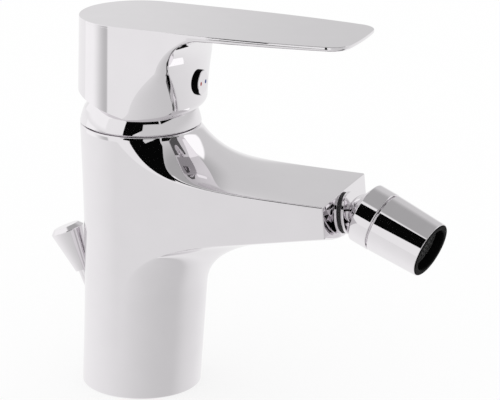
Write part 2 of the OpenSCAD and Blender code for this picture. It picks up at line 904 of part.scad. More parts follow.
module index_plug() {
  plug_chamfer = 0.5;
  color("silver")
    along_plug()
      difference() {
        union() {
          cylinder(r = plug_r, h = plug_len - plug_chamfer);
          translate([0, 0, plug_len - plug_chamfer])
            cylinder(r1 = plug_r, r2 = plug_r - plug_chamfer, h = plug_chamfer);
        }
        for (y = [-dot_y, dot_y])
          translate([0, y, plug_len - dot_depth])
            cylinder(r = dot_r, h = dot_depth + cut);
      }
}

module index_dot(y) {
  along_plug()
    translate([0, y, plug_len - dot_depth])
      cylinder(r = dot_r, h = dot_depth);
}

module index_red() {
  color("red")
    index_dot(-dot_y);
}

module index_blue() {
  color("blue")
    index_dot(dot_y);
}

module lift_rod() {
  color("silver")
    along_rod()
      translate([0, 0, rod_low])
        cylinder(r = rod_r, h = knob_at + knob_len / 2 - rod_low);
}

module lift_knob() {
  color("silver")
    along_rod()
      translate([0, 0, knob_at])
        difference() {
          rotate_extrude()
            polygon([
              [0, 0],
              [knob_r1, 0],
              [knob_r2, knob_len - knob_chamfer],
              [knob_top_r, knob_len],
              [0, knob_len]
            ]);
          translate([0, 0, -cut])
            cylinder(r = rod_r, h = knob_len / 2 + cut);
        }
}

module ball_seat() {
  seat_t0 = seat_r1 * cos(70);
  seat_t1 = seat_r1 * cos(40);
  color("white")
    along_nozzle()
      difference() {
        intersection() {
          sphere(r = seat_r1);
          translate([0, 0, seat_t0])
            cylinder(r = nut_bore_r, h = seat_t1 - seat_t0);
        }
        sphere(r = seat_r0);
      }
}

module seat_backing() {
  color("dimgray")
    along_nozzle()
      difference() {
        translate([0, 0, backing_t0])
          cylinder(r = backing_r1, h = backing_t1 - backing_t0);
        sphere(r = backing_r0);
      }
}

module nozzle_nut() {
  lip_r = sqrt(seat_r0 ^ 2 - lip_t ^ 2);
  cavity_t = -0.8;
  color("silver")
    along_nozzle()
      difference() {
        union() {
          translate([0, 0, lip_t])
            cylinder(r1 = lip_r + 0.6, r2 = nut_r, h = nut_shoulder_t - lip_t);
          translate([0, 0, nut_shoulder_t])
            cylinder(r = nut_r, h = nut_len - nut_shoulder_t);
          translate([0, 0, nut_len - cut])
            cylinder(r = thread_r, h = thread_len + cut);
        }
        sphere(r = seat_r0);
        intersection() {
          sphere(r = nut_bore_r);
          translate([0, 0, cavity_t])
            cylinder(r = nut_bore_r, h = nut_bore_r);
        }
        cylinder(r = nut_bore_r, h = nozzle_len);
      }
}

module seat_retainer() {
  retainer_bore_r = 6.2;
  color("goldenrod")
    along_nozzle()
      ring(retainer_bore_r, nut_bore_r, backing_t1, retainer_t1);
}

module nozzle_sleeve() {
  color("silver")
    along_nozzle()
      difference() {
        translate([0, 0, sleeve_t0])
          cylinder(r1 = sleeve_r1, r2 = sleeve_r2, h = nozzle_len - sleeve_t0);
        translate([0, 0, sleeve_t0 - cut])
          cylinder(r = thread_r, h = spigot_t1 - sleeve_t0 + cut);
        cylinder(r = insert_r, h = nozzle_len + cut);
        translate([0, 0, insert_t1])
          cylinder(r = outlet_ring_r, h = nozzle_len);
      }
}

module aerator_gasket() {
  gasket_bore_r = 7.6;
  color("black")
    along_nozzle()
      ring(gasket_bore_r, insert_r, spigot_t1, gasket_t1);
}

module aerator_insert() {
  wall = insert_r - outlet_bore_r;
  plate_t = 1.6;
  hole_r = 0.9;
  hole_rings = [3, 6];
  color("lightgray")
    along_nozzle()
      translate([0, 0, gasket_t1])
        difference() {
          cylinder(r = insert_r, h = insert_len);
          translate([0, 0, plate_t])
            cylinder(r = insert_r - wall, h = insert_len);
          for (ring_r = hole_rings, k = [0:ring_r * 2 - 1])
            rotate([0, 0, 180 * k / ring_r])
              translate([ring_r, 0, -cut])
                cylinder(r = hole_r, h = plate_t + 2 * cut);
        }
}

module outlet_screen() {
  hole_d = 1.5;
  pitch = 1.9;
  rows = 4;
  color("dimgray")
    along_nozzle()
      translate([0, 0, insert_t1 - screen_t])
        difference() {
          cylinder(r = outlet_bore_r, h = screen_t);
          for (i = [-rows:rows], j = [-rows:rows])
            if (norm([pitch * (i + j / 2), pitch * j * sin(60)]) < outlet_bore_r - hole_d)
              translate([pitch * (i + j / 2), pitch * j * sin(60), -cut])
                cylinder(d = hole_d, h = screen_t + 2 * cut, $fn = 6);
        }
}

module outlet_ring() {
  color("black")
    along_nozzle()
      ring(outlet_bore_r, outlet_ring_r, insert_t1, nozzle_len + 0.3);
}

body_casting();
deck_gasket();
rod_bush();
cartridge_base();
port_seals();
fixed_disc();
cartridge_housing();
cartridge_nut();
cap();
cap_seal();
ball_stem();
stem_washer();
cartridge_rotor();
spindle_pin();
moving_disc();
disc_carrier();
spindle();
lever_handle();
handle_screw();
index_plug();
index_red();
index_blue();
lift_rod();
lift_knob();
ball_seat();
seat_backing();
nozzle_nut();
seat_retainer();
nozzle_sleeve();
aerator_gasket();
aerator_insert();
outlet_screen();
outlet_ring();
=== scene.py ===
import json
import math

import bmesh
import bpy
import numpy as np
from mathutils import Matrix, Vector


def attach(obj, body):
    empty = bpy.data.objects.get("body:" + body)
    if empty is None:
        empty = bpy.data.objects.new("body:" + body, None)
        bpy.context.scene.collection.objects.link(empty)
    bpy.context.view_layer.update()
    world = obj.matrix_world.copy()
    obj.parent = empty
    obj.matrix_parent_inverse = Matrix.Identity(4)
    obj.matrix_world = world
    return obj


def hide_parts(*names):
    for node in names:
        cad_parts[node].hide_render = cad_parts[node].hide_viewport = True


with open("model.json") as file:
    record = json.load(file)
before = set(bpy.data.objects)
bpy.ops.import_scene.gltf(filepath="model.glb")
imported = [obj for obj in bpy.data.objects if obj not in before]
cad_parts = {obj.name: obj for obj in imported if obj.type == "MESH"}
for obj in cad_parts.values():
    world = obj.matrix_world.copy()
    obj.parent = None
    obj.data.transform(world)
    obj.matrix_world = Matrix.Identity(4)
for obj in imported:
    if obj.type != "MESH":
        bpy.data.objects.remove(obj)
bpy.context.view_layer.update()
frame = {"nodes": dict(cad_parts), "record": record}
scene = bpy.context.scene
MM = 0.001
D2R = math.pi / 180

# Sizes of the mixer in millimetres, the same as the construction's
HALF_W = 24.0
RIM_Z, RIM_ROUND, BASE_CHAMFER = 108.5, 1.0, 0.4
BACK_BOW = 1.6
SPOUT_TOP, SPOUT_LOW, SPOUT_REACH = 91.0, 78.4, 85.8
LEAN, RISE = math.tan(3.7 * D2R), math.tan(11.6 * D2R)
FLARE_LEN, FLARE_H = 13.6, RIM_Z - RIM_ROUND - SPOUT_TOP
ARCH_LOW, ARCH_REACH, BELLY = 42.0, 40.0, 2.4
SLICE_END = SPOUT_REACH + 8
END_TILT = 6 * D2R
STEM_Z = 82.0
END_X = SPOUT_REACH + (SPOUT_TOP - STEM_Z) * math.tan(END_TILT) / 2
STEM_DIR = np.array([math.cos(END_TILT), 0, math.sin(END_TILT)])
STEM_FOOT = np.array([END_X, 0, STEM_Z])
BALL_GAP, BALL_R = 8.8, 7.5
BALL_C = STEM_FOOT + BALL_GAP * STEM_DIR
PITCH, YAW = 19.3 * D2R, 9.9 * D2R
NOZZLE_DIR = np.array([math.cos(PITCH) * math.cos(YAW), -math.cos(PITCH) * math.sin(YAW), -math.sin(PITCH)])
ROD_FOOT = np.array([-21.8, 0, 34.0])
ROD_DIR = np.array([-math.sin(24 * D2R), 0, math.cos(24 * D2R)])
PIVOT_Z = 100.0
REST_LEAN = 12 * D2R
SPINDLE_DIR = np.array([math.sin(REST_LEAN), 0, math.cos(REST_LEAN)])
EDGE, END_ROUND = 0.7, 0.5
ORIGIN, VERTICAL, FORWARD = (0, 0, 0), (0, 0, 1), (1, 0, 0)
HOLLOW_R, HOLLOW_TOP = 20.5, 40
GROOVE_IN, GROOVE_OUT, GROOVE_DEPTH = 21.45, 23.05, 1.6
BOSS_R, ROD_WAY_R, ROD_R, STEM_R = 5.05, 3.05, 2.25, 6
HOSE_R, HOSE_X, HOSE_Y = 4.5, 3.5, 9.5
STUD_R, STUD_X = 3.4, 14
WAY_LOW = HOLLOW_TOP - 1
SOCKET_R = 7.55

LEVER_Z0, LEVER_Z1 = 115.8, 151.6
LEVER_R, LEVER_DRAFT = 23.9, 0.8
LEVER_FRONT, LEVER_FRONT_R, LEVER_CORNER = 25.0, 62.0, 3.5
DRUM_FRONT_R, DRUM_CORNER, LEVER_CHIN = 40.0, 11.5, 3.0
LEVER_FILLET, LEVER_EDGE = 14.0, 0.5
LEVER_REACH, TIP_R, TIP_CORNER = 91.6, 150.0, 7.0
TAPER, TAPER_X = 3.9, 30.0
PLATE_ROOT, PLATE_TIP = LEVER_Z1 - 2.6, LEVER_Z1 - 1.8
ROOT_ROUND, TIP_ROUND, TOP_ROUND = 1.5, 0.9, 0.2
TIP_DROP = TIP_ROUND * 1.1
FILLET_Z = PLATE_ROOT - LEVER_FILLET
LEVER_BORE, LEVER_ROOF = 22.1, 4.6
HUB_R, HUB_LOW = 8, 27.92
SCREW_R, SCREW_BOSS_R = 2.5, 3.7
SPINDLE_WAY, SPINDLE_LEN = 8.1, 41.05
PLUG_Z, PLUG_FOOT = LEVER_Z0 + 11.2, LEVER_FRONT - 3
PLUG_R, PLUG_LEN, PLUG_WAY_R, PLUG_FACE_R = 5, 4.6, 5.05, 4.6
MARK_R, MARK_Y = 0.8, 2.2

# How finely the meshes are made
FINE, ROUND, PLAIN, COARSE = 192, 144, 96, 48
CORNER_STEPS = 5
SHARP_ANGLE = 32 * D2R
TURN_WEIGHT = 9.0
SNAP = 0.8


def unit(v):
    """Vectors scaled to a length of 1."""
    return v / np.maximum(np.linalg.norm(v, axis=-1, keepdims=True), 1e-12)


def new_object(name, bm):
    """A mesh object in metres from a bmesh in millimetres."""
    bmesh.ops.scale(bm, vec=(MM, MM, MM), verts=bm.verts)
    bmesh.ops.recalc_face_normals(bm, faces=bm.faces)
    mesh = bpy.data.meshes.new(name)
    bm.to_mesh(mesh)
    bm.free()
    obj = bpy.data.objects.new(name, mesh)
    scene.collection.objects.link(obj)
    return obj


def loft(rings):
    """A closed bmesh through rings that all have the same number of points."""
    bm = bmesh.new()
    rows = [[bm.verts.new(p) for p in ring] for ring in rings]
    n = len(rows[0])
    for low, high in zip(rows, rows[1:]):
        for i in range(n):
            j = (i + 1) % n
            bm.faces.new((low[i], low[j], high[j], high[i]))
    bm.faces.new(list(reversed(rows[0])))
    bm.faces.new(rows[-1])
    return bm


def axis_frame(axis):
    """Two unit vectors across an axis, and the axis itself as a unit vector."""
    axis = unit(np.array(axis, float))
    side = np.array([0, 1, 0]) if abs(axis[1]) < 0.9 else np.array([1, 0, 0])
    u = unit(np.cross(side, axis))
    return u, np.cross(axis, u), axis


def lathe(profile, origin, axis, n=ROUND):
    """A closed bmesh of revolution from a closed profile of (distance along the axis, radius)."""
    u, v, w = axis_frame(axis)
    angles = np.arange(n) * 2 * math.pi / n
    across = np.outer(np.cos(angles), u) + np.outer(np.sin(angles), v)
    bm = bmesh.new()
    rows = []
    for t, r in profile:
        base = np.array(origin) + t * w
        if r < 1e-6:
            rows.append([bm.verts.new(base)])
        else:
            rows.append([bm.verts.new(base + r * d) for d in across])
    for a, b in zip(rows, rows[1:] + rows[:1]):
        if len(a) == 1 and len(b) == 1:
            continue
        for i in range(n):
            j = (i + 1) % n
            corners = [a[i % len(a)], a[j % len(a)], b[j % len(b)], b[i % len(b)]]
            bm.faces.new(list(dict.fromkeys(corners)))
    return bm


def rounded(points):
    """A closed profile whose corners (t, r, radius) are rounded; a radius of 0 stays sharp."""
    out = []
    n = len(points)
    for k, (t, r, fillet) in enumerate(points):
        p = np.array([t, r])
        if fillet <= 0:
            out.append((t, r))
            continue
        a = unit(np.array(points[k - 1][:2]) - p)
        b = unit(np.array(points[(k + 1) % n][:2]) - p)
        half = math.acos(max(-1, min(1, float(a @ b)))) / 2
        reach = fillet / math.tan(half)
        centre = p + unit(a + b) * fillet / math.sin(half)
        start, end = p + a * reach - centre, p + b * reach - centre
        turn = math.pi - 2 * half
        for q in np.linspace(0, 1, CORNER_STEPS + 1):
            mixed = (math.sin((1 - q) * turn) * start + math.sin(q * turn) * end) / math.sin(turn)
            out.append(tuple(centre + mixed))
    return out


def arc(centre, radius, r0, r1, steps):
    """Points (z, r) on a sphere's outline about an axis point, from radius r0 to radius r1."""
    return [(centre + math.sqrt(radius ** 2 - r ** 2), r) for r in np.linspace(r0, r1, steps)]


def rod_between(name, r, origin, axis, t0, t1, n=PLAIN):
    """A plain round cutter from t0 to t1 along an axis."""
    return new_object(name, lathe([(t0, 0), (t0, r), (t1, r), (t1, 0)], origin, axis, n))


def block(name, corner, size, turn, about):
    """A box in millimetres, turned about the Y axis through a point."""
    bm = bmesh.new()
    bmesh.ops.create_cube(bm, size=1)
    for v in bm.verts:
        v.co = Vector([corner[k] + size[k] * (v.co[k] + 0.5) for k in range(3)])
    bmesh.ops.rotate(bm, cent=about, matrix=Matrix.Rotation(turn, 3, "Y"), verts=bm.verts)
    return new_object(name, bm)


def carve(obj, *cutters):
    """Cuts each cutter out of an object and removes the cutters."""
    for cutter in cutters:
        mod = obj.modifiers.new("cut", "BOOLEAN")
        mod.operation = "DIFFERENCE"
        mod.solver = "EXACT"
        mod.object = cutter
        bpy.context.view_layer.update()
        shaped = obj.evaluated_get(bpy.context.evaluated_depsgraph_get())
        mesh = bpy.data.meshes.new_from_object(shaped)
        obj.modifiers.clear()
        old = obj.data
        obj.data = mesh
        bpy.data.meshes.remove(old)
        tool = cutter.data
        bpy.data.objects.remove(cutter)
        bpy.data.meshes.remove(tool)
    return obj


def smooth(obj):
    """Smooth shading with sharp edges above SHARP_ANGLE; large faces keep their own direction."""
    bm = bmesh.new()
    bm.from_mesh(obj.data)
    bmesh.ops.remove_doubles(bm, verts=bm.verts, dist=1e-7)
    for face in bm.faces:
        face.smooth = True
    for edge in bm.edges:
        edge.smooth = len(edge.link_faces) != 2 or edge.calc_face_angle(0) < SHARP_ANGLE
    bm.to_mesh(obj.data)
    bm.free()
    weighted = obj.modifiers.new("normals", "WEIGHTED_NORMAL")
    weighted.keep_sharp = True
    weighted.weight = 50


def evenly(fun, lo, hi, n):
    """Values from lo to hi spaced by the distance along fun's points and by the turning of its normals."""
    u = np.linspace(-1, 1, 1201)
    t = (lo + hi) / 2 + (hi - lo) / 2 * np.sign(u) * (1 - (1 - np.abs(u)) ** 3)
    points, normals = fun(t)
    step = np.linalg.norm(np.diff(points, axis=0), axis=1)
    bend = np.linalg.norm(np.diff(normals, axis=0), axis=1)
    run = np.concatenate([[0], np.cumsum(step + TURN_WEIGHT * bend)])
    return np.interp(np.linspace(0, run[-1], n), run, t)


# Body: level rings whose front half is rounded by EDGE where the top and the underside meet the sides
FAN, SURFACE, SIDE, BACK = 7, 91, 12, 72
FRONT = SURFACE + 2 * FAN


def close_ring(front):
    """Adds straight sides and the back's arc to a ring's front half."""
    left, right = front[-1], front[0]
    z = (left[2] + right[2]) / 2
    depth = HALF_W - BACK_BOW * math.sin(math.pi * z / RIM_Z)
    k = np.arange(1, SIDE + 1)[:, None] / (SIDE + 1)
    a = (90 + 180 * np.arange(BACK + 1) / BACK) * D2R
    back = np.stack([depth * np.cos(a), HALF_W * np.sin(a), np.full(BACK + 1, z)], -1)
    there = left + (back[0] - left) * k
    home = back[-1] + (right - back[-1]) * k
    return np.concatenate([front, there, back, home])


def under_ring(s, z, ds, dz, power, dpower):
    """Ring of the trunk, the arch or the underside, which moves on by (ds, dz) and flattens by its power."""
    w = HALF_W - EDGE
    lead = unit(np.array([dz, 0.0, -ds]))
    s_e, z_e = s + EDGE * (1 - lead[0]), z - EDGE * lead[2]

    def at(a):
        c, d = np.cos(a), np.sin(a)
        flat = c ** power
        across = np.stack([-power * c ** (power - 1) * d, c, 0 * c], -1)
        along = np.stack([ds + w * flat * np.log(c) * dpower, 0 * c, dz + 0 * c], -1)
        normal = unit(np.cross(across, along))
        return np.stack([s_e + w * flat, w * d, z_e + 0 * c], -1) + EDGE * normal, normal

    limit = 88 * D2R
    points, normals = at(evenly(at, -limit, limit, SURFACE))

    def fan(edge, side):
        k = np.arange(1, FAN + 1)[:, None] / FAN
        corner = np.array([s_e, side * w, z_e])
        return corner + EDGE * unit((1 - k) * edge + k * np.array([0.0, side, 0.0]))

    return close_ring(np.concatenate([fan(normals[0], -1)[::-1], points, fan(normals[-1], 1)]))


def flare_ring(s):
    """Ring of the spout's top, which rises to the rim as its front draws back."""
    f = FLARE_H / FLARE_LEN * math.exp(-s / FLARE_LEN)
    z = SPOUT_TOP + FLARE_LEN * f
    w = HALF_W - EDGE
    lead = unit(np.array([f, 1.0]))
    x_e, z_e = s + EDGE * (1 - lead[0]), z - EDGE * lead[1]

    def at(a):
        c, d = np.cos(a), np.sin(a)
        normal = unit(np.stack([f * c, f * d, c], -1))
        return np.stack([x_e + w * c, w * d, z_e + 0 * c], -1) + EDGE * normal, normal

    return close_ring(at(evenly(at, -math.pi / 2, math.pi / 2, FRONT))[0])


def circle_like(ring, r, z):
    """A circle with the same directions from the axis as a ring's points."""
    a = np.arctan2(ring[:, 1], ring[:, 0])
    return np.stack([r * np.cos(a), r * np.sin(a), np.full(len(a), z)], -1)


def build_body():
    """The casting: trunk, arch and spout as one loft, cut off at the spout's end face, with its bores."""
    under_z0 = SPOUT_LOW - RISE * SPOUT_REACH
    corner_s = LEAN * under_z0 / (1 - LEAN * RISE)
    p0 = np.array([LEAN * ARCH_LOW, ARCH_LOW])
    p1 = np.array([corner_s, under_z0 + RISE * corner_s])
    p2 = np.array([ARCH_REACH, under_z0 + RISE * ARCH_REACH])
    trunk = [under_ring(LEAN * z, z, LEAN, 1, 1, 0) for z in (BASE_CHAMFER, 1.4, 4, 10, 16, 22, 28, 34, 38)]
    foot = trunk[0] * [1 - BASE_CHAMFER / HALF_W, 1 - BASE_CHAMFER / HALF_W, 0]
    arch = []
    for t in np.linspace(0, 1, 29):
        p = (1 - t) ** 2 * p0 + 2 * t * (1 - t) * p1 + t ** 2 * p2
        d = 2 * (1 - t) * (p1 - p0) + 2 * t * (p2 - p1)
        power = 1 + (BELLY - 1) * t ** 2 * (3 - 2 * t)
        arch.append(under_ring(p[0], p[1], d[0], d[1], power, (BELLY - 1) * 6 * t * (1 - t)))
    under = [under_ring(s, under_z0 + RISE * s, 1, RISE, BELLY, 0) for s in (46, 54, 63, 73, SLICE_END)]
    stations = [SLICE_END, 74, 64, 56, 49.5, 44.5, 40.5, 37, 34, 31.2, 28.6, 26.2, 24, 22, 20.1, 18.3, 16.6, 15,
                13.5, 12.1, 10.8, 9.6, 8.4, 7.3, 6.2, 5.2, 4.2, 3.3, 2.4, 1.6, 0.8, 0]
    flare = [flare_ring(s) for s in stations]
    last = flare[-1]
    rim = [circle_like(last, HALF_W - RIM_ROUND * (1 - math.cos(a)), RIM_Z - RIM_ROUND * (1 - math.sin(a)))
           for a in np.array([25, 45, 65, 90]) * D2R]
    seat = [circle_like(last, r, z) for r, z in (
        (21.95, 108.5), (21.74, 108.41), (21.65, 108.2), (21.65, 104), (20, 104), (20, 92), (17.5, 92), (17.5, 73.1))]
    bm = loft([foot] + trunk + arch + under + flare + rim + seat)

    plane = Vector(STEM_FOOT)
    normal = Vector(STEM_DIR)
    for v in bm.verts:
        d = (v.co - plane).dot(normal)
        if abs(d) < SNAP:
            v.co.x -= d / normal.x
    everything = bm.verts[:] + bm.edges[:] + bm.faces[:]
    bmesh.ops.bisect_plane(bm, geom=everything, dist=1e-5, plane_co=plane, plane_no=normal, clear_outer=True)
    rim_edges = [e for e in bm.edges if e.is_boundary]
    bmesh.ops.edgeloop_fill(bm, edges=rim_edges)
    bmesh.ops.recalc_face_normals(bm, faces=bm.faces)
    bmesh.ops.bevel(bm, geom=rim_edges, offset=END_ROUND, segments=4, profile=0.5, affect="EDGES",
                    clamp_overlap=True)
    body = new_object("body_shell", bm)

    hollow = rod_between("hollow", HOLLOW_R, ORIGIN, VERTICAL, -1, HOLLOW_TOP)
    carve(hollow, rod_between("boss", BOSS_R, ROD_FOOT, ROD_DIR, -14, 30))
    groove = [(-1, GROOVE_IN), (-1, GROOVE_OUT), (GROOVE_DEPTH, GROOVE_OUT), (GROOVE_DEPTH, GROOVE_IN)]
    return carve(
        body, hollow, new_object("groove", lathe(groove, ORIGIN, VERTICAL)),
        rod_between("rod_way", ROD_WAY_R, ROD_FOOT, ROD_DIR, -15, 29),
        rod_between("stem_way", STEM_R, STEM_FOOT, STEM_DIR, -9, 1),
        rod_between("hot_way", HOSE_R, (HOSE_X, -HOSE_Y, 0), VERTICAL, WAY_LOW, 50),
        rod_between("cold_way", HOSE_R, (HOSE_X, HOSE_Y, 0), VERTICAL, WAY_LOW, 50),
        rod_between("stud_way", STUD_R, (STUD_X, 0, 0), VERTICAL, WAY_LOW, 51),
    )


# Lever: level rings whose front and corners move out along the hollow and the plate's underside
NOSE, FLANK, HEEL = 121, 22, 80


def lever_side(r, x):
    """Half the lever's width, which narrows along the plate."""
    return r - TAPER * (np.maximum(0, x - TAPER_X) / (LEVER_REACH - TIP_CORNER - TAPER_X)) ** 2


def sag(radius, y):
    """How far a curved front falls back at a distance from its middle."""
    return radius - np.sqrt(radius ** 2 - y ** 2)


def lever_ring(z, x, curve, corner, dx, dz, edge, inset=0.0):
    """Ring of the lever at a level: front at x, moving on by (dx, dz); its free edges are rounded by edge."""
    r = LEVER_R + LEVER_DRAFT * (LEVER_Z1 - z) / (LEVER_Z1 - LEVER_Z0) - inset
    w = float(lever_side(r, x - corner))
    lead = unit(np.array([dz, -dx], float))
    x_e, z_e, w_e = x - edge * lead[0], z - edge * lead[1], w - edge
    corner_e = max(corner - edge, 0.02)
    flat = w_e - corner_e

    def at(q):
        side, q = np.sign(q), np.abs(q)
        beta = np.clip(q - 1, 0, 1) * math.pi / 2
        y = np.where(q < 1, flat * q, flat + corner_e * np.sin(beta))
        slope = y / np.sqrt(curve ** 2 - y ** 2)
        flow = unit(np.stack([np.cos(beta), side * (slope * np.cos(beta) + np.sin(beta))], -1))
        normal = unit(np.concatenate([flow * dz, -dx * flow[:, :1]], -1))
        front = x_e - sag(curve, y) - corner_e * (1 - np.cos(beta))
        return np.stack([front, side * y, z_e + 0 * y], -1) + edge * normal, normal

    nose = at(evenly(at, -2, 2, NOSE))[0]
    start = nose[-1][0]
    xk = start * (1 - np.arange(1, FLANK + 1) / FLANK)
    level = nose[-1][2]
    flank = np.stack([xk, lever_side(r, xk), np.full(FLANK, level)], -1)
    a = (90 + 180 * np.arange(1, HEEL) / HEEL) * D2R
    heel = np.stack([r * np.cos(a), r * np.sin(a), np.full(HEEL - 1, level)], -1)
    return np.concatenate([nose, flank, heel, flank[::-1] * [1, -1, 1]])


def drum_ring(z, inset, dx, dz):
    """Ring of the drum, whose front and corners open up towards the hollow."""
    t = ((z - LEVER_Z0) / (FILLET_Z - LEVER_Z0)) ** 2
    curve = DRUM_FRONT_R + (LEVER_FRONT_R - DRUM_FRONT_R) * t
    corner = DRUM_CORNER + (LEVER_CORNER - DRUM_CORNER) * t
    return lever_ring(z, LEVER_FRONT - inset, curve, corner, dx, dz, 0.0)


def build_lever():
    """The lever: rounded chin, drum, hollow, the plate's underside, its tip and its top edge, then its bores."""
    rings = []
    for a in np.array([0, 12, 24, 36, 48, 60, 75, 90]) * D2R:
        rings.append(drum_ring(LEVER_Z0 + LEVER_CHIN * (1 - math.cos(a)), LEVER_CHIN * (1 - math.sin(a)),
                               math.cos(a), math.sin(a)))
    for z in np.linspace(LEVER_Z0 + LEVER_CHIN + 1.6, FILLET_Z - 1, 11):
        rings.append(drum_ring(z, 0, 0, 1))
    for a in np.linspace(0, 84, 22) * D2R:
        edge = ROOT_ROUND * math.sin(a) ** 2
        corner = LEVER_CORNER + (LEVER_EDGE - LEVER_CORNER) * math.sin(a)
        rings.append(lever_ring(FILLET_Z + LEVER_FILLET * math.sin(a), LEVER_FRONT + LEVER_FILLET * (1 - math.cos(a)),
                                LEVER_FRONT_R, corner, math.sin(a), math.cos(a), edge))
    x0, x1 = LEVER_FRONT + LEVER_FILLET, LEVER_REACH - TIP_DROP
    for t in (0.04, 0.12, 0.22, 0.34, 0.46, 0.58, 0.7, 0.8, 0.88, 0.94, 0.98, 1):
        x, z = x0 + (x1 - x0) * t, PLATE_ROOT + (PLATE_TIP - PLATE_ROOT) * t
        curve = LEVER_FRONT_R + (TIP_R - LEVER_FRONT_R) * t
        corner = LEVER_EDGE + (TIP_CORNER - LEVER_EDGE) * t
        edge = ROOT_ROUND + (TIP_ROUND - ROOT_ROUND) * t
        rings.append(lever_ring(z, x, curve, corner, x1 - x0, PLATE_TIP - PLATE_ROOT, edge))
    for a in np.array([20, 40, 60, 80, 90]) * D2R:
        rings.append(lever_ring(PLATE_TIP + TIP_DROP * (1 - math.cos(a)), x1 + TIP_DROP * math.sin(a),
                                TIP_R, TIP_CORNER, math.cos(a), math.sin(a), TIP_ROUND))
    for a in np.array([0, 18, 36, 54, 72, 90]) * D2R:
        inset = TOP_ROUND * (1 - math.cos(a))
        rings.append(lever_ring(LEVER_Z1 - TOP_ROUND * (1 - math.sin(a)), LEVER_REACH - inset,
                                TIP_R, TIP_CORNER, 0, 1, 0.0, inset))
    lever = new_object("lever_shell", loft(rings))

    bore = rod_between("bore", LEVER_BORE, ORIGIN, VERTICAL, LEVER_Z0 - 1, LEVER_Z1 - LEVER_ROOF, FINE)
    hub_top = (LEVER_Z1 - LEVER_ROOF - PIVOT_Z) / math.cos(REST_LEAN) + 1
    pivot = np.array([0, 0, PIVOT_Z])
    screw_foot = np.array([PLUG_FOOT, 0, PLUG_Z])
    screw_dir = np.array([-math.cos(REST_LEAN), 0, math.sin(REST_LEAN)])
    screw_len = (PLUG_FOOT - (PLUG_Z - PIVOT_Z) * math.tan(REST_LEAN)) * math.cos(REST_LEAN) - 4
    carve(bore, rod_between("hub", HUB_R, pivot, SPINDLE_DIR, HUB_LOW, hub_top),
          rod_between("screw_boss", SCREW_BOSS_R, screw_foot, screw_dir, 0, screw_len))
    heel = new_object("heel_wedge", loft([
        [(4, y, LEVER_Z0), (-68, y, LEVER_Z0 + 18), (-68, y, LEVER_Z0 - 70), (4, y, LEVER_Z0 - 70)]
        for y in (-48, 48)]))
    return carve(
        lever, bore, heel,
        block("spindle_way", (-SPINDLE_WAY / 2, -SPINDLE_WAY / 2, PIVOT_Z), (SPINDLE_WAY, SPINDLE_WAY, SPINDLE_LEN),
              REST_LEAN, (0, 0, PIVOT_Z)),
        rod_between("plug_way", PLUG_WAY_R, screw_foot, FORWARD, 0, 60),
        rod_between("screw_way", SCREW_R, screw_foot, screw_dir, 0, screw_len + 1),
    )


# Turned pieces: profiles of (distance along the axis, radius), or with the rounding of each corner
def build_cap():
    dome_z, dome_r, sweep_r, join_z = 105.0, 24.3, 26.718, 114.85
    join = math.sqrt(dome_r ** 2 - (join_z - dome_z) ** 2)
    foot = math.sqrt(dome_r ** 2 - (RIM_Z + 0.6 - dome_z) ** 2)
    profile = [(104, 20.3), (104, 21.3), (104.2, 21.5), (105.2, 21.5), (105.2, 20.9), (106.8, 20.9), (106.8, 21.5),
               (109.1, 21.5), (109.1, foot - 0.25), (109.17, foot - 0.08)]
    profile += arc(dome_z, dome_r, foot - 0.02, join, 24)
    profile += arc(PIVOT_Z, sweep_r, join - 0.3, 12.8, 28)
    profile += [(123.45, 12.55), (123.2, 12.5), (122.3, 12.5)]
    profile += arc(PIVOT_Z, sweep_r - 1.2, 12.6, 20.3, 20)
    return new_object("cap_dome", lathe(profile, ORIGIN, VERTICAL, FINE))


def build_stem():
    neck_r, bore_r = 4, 2.6
    t0 = BALL_GAP - math.sqrt(BALL_R ** 2 - neck_r ** 2)
    a0, a1 = math.acos((t0 - BALL_GAP) / BALL_R), math.asin(bore_r / BALL_R)
    ball = [(BALL_GAP + BALL_R * math.cos(a), BALL_R * math.sin(a)) for a in np.linspace(a0, a1, 40)]
    profile = rounded([(-9, bore_r, 0), (-9, STEM_R, 0), (0.8, STEM_R, 0), (0.8, 8.2, 0.25), (2.0, 8.2, 0.3),
                       (2.0, neck_r, 0)])
    return new_object("stem_turned", lathe(profile + ball, STEM_FOOT, STEM_DIR))


def build_nut():
    lip = math.sqrt(SOCKET_R ** 2 - 3.1 ** 2)
    profile = rounded([(-3.1, lip, 0), (-3.1, lip + 0.6, 0.2), (-0.46, 12, 0.6), (7.3, 12, 0.45), (7.3, 10.6, 0),
                       (12.9, 10.6, 0.3), (12.9, 9.3, 0), (0, 9.3, 0), (-0.8, 9.265, 0), (-0.8, 7.507, 0)])
    seat = [(-t, math.sqrt(SOCKET_R ** 2 - t ** 2)) for t in np.linspace(1.1, 2.9, 6)]
    return new_object("nut_turned", lathe(profile + seat, BALL_C, NOZZLE_DIR))


def build_sleeve():
    profile = rounded([(7.8, 10.6, 0), (7.8, 11.85, 0.45), (29.2, 11.1, 0.22), (29.2, 10.75, 0.1), (26, 10.75, 0),
                       (26, 9.7, 0), (12.9, 9.7, 0), (12.9, 10.6, 0)])
    return new_object("sleeve_turned", lathe(profile, BALL_C, NOZZLE_DIR))


def build_outlet():
    profile = rounded([(26, 8.4, 0), (26, 10.75, 0), (29.5, 10.75, 0.35), (29.5, 8.4, 0.7)])
    return new_object("outlet_rim", lathe(profile, BALL_C, NOZZLE_DIR))


def build_plug():
    profile = rounded([(0, 0, 0), (0, PLUG_R, 0.2), (PLUG_LEN, PLUG_R, 0.6), (PLUG_LEN, 0, 0)])
    plug = new_object("plug_turned", lathe(profile, (PLUG_FOOT, 0, PLUG_Z), FORWARD))
    for y in (-MARK_Y, MARK_Y):
        carve(plug, rod_between("dot_way", MARK_R, (PLUG_FOOT, y, PLUG_Z), FORWARD, 3.8, 6, COARSE))
    return plug


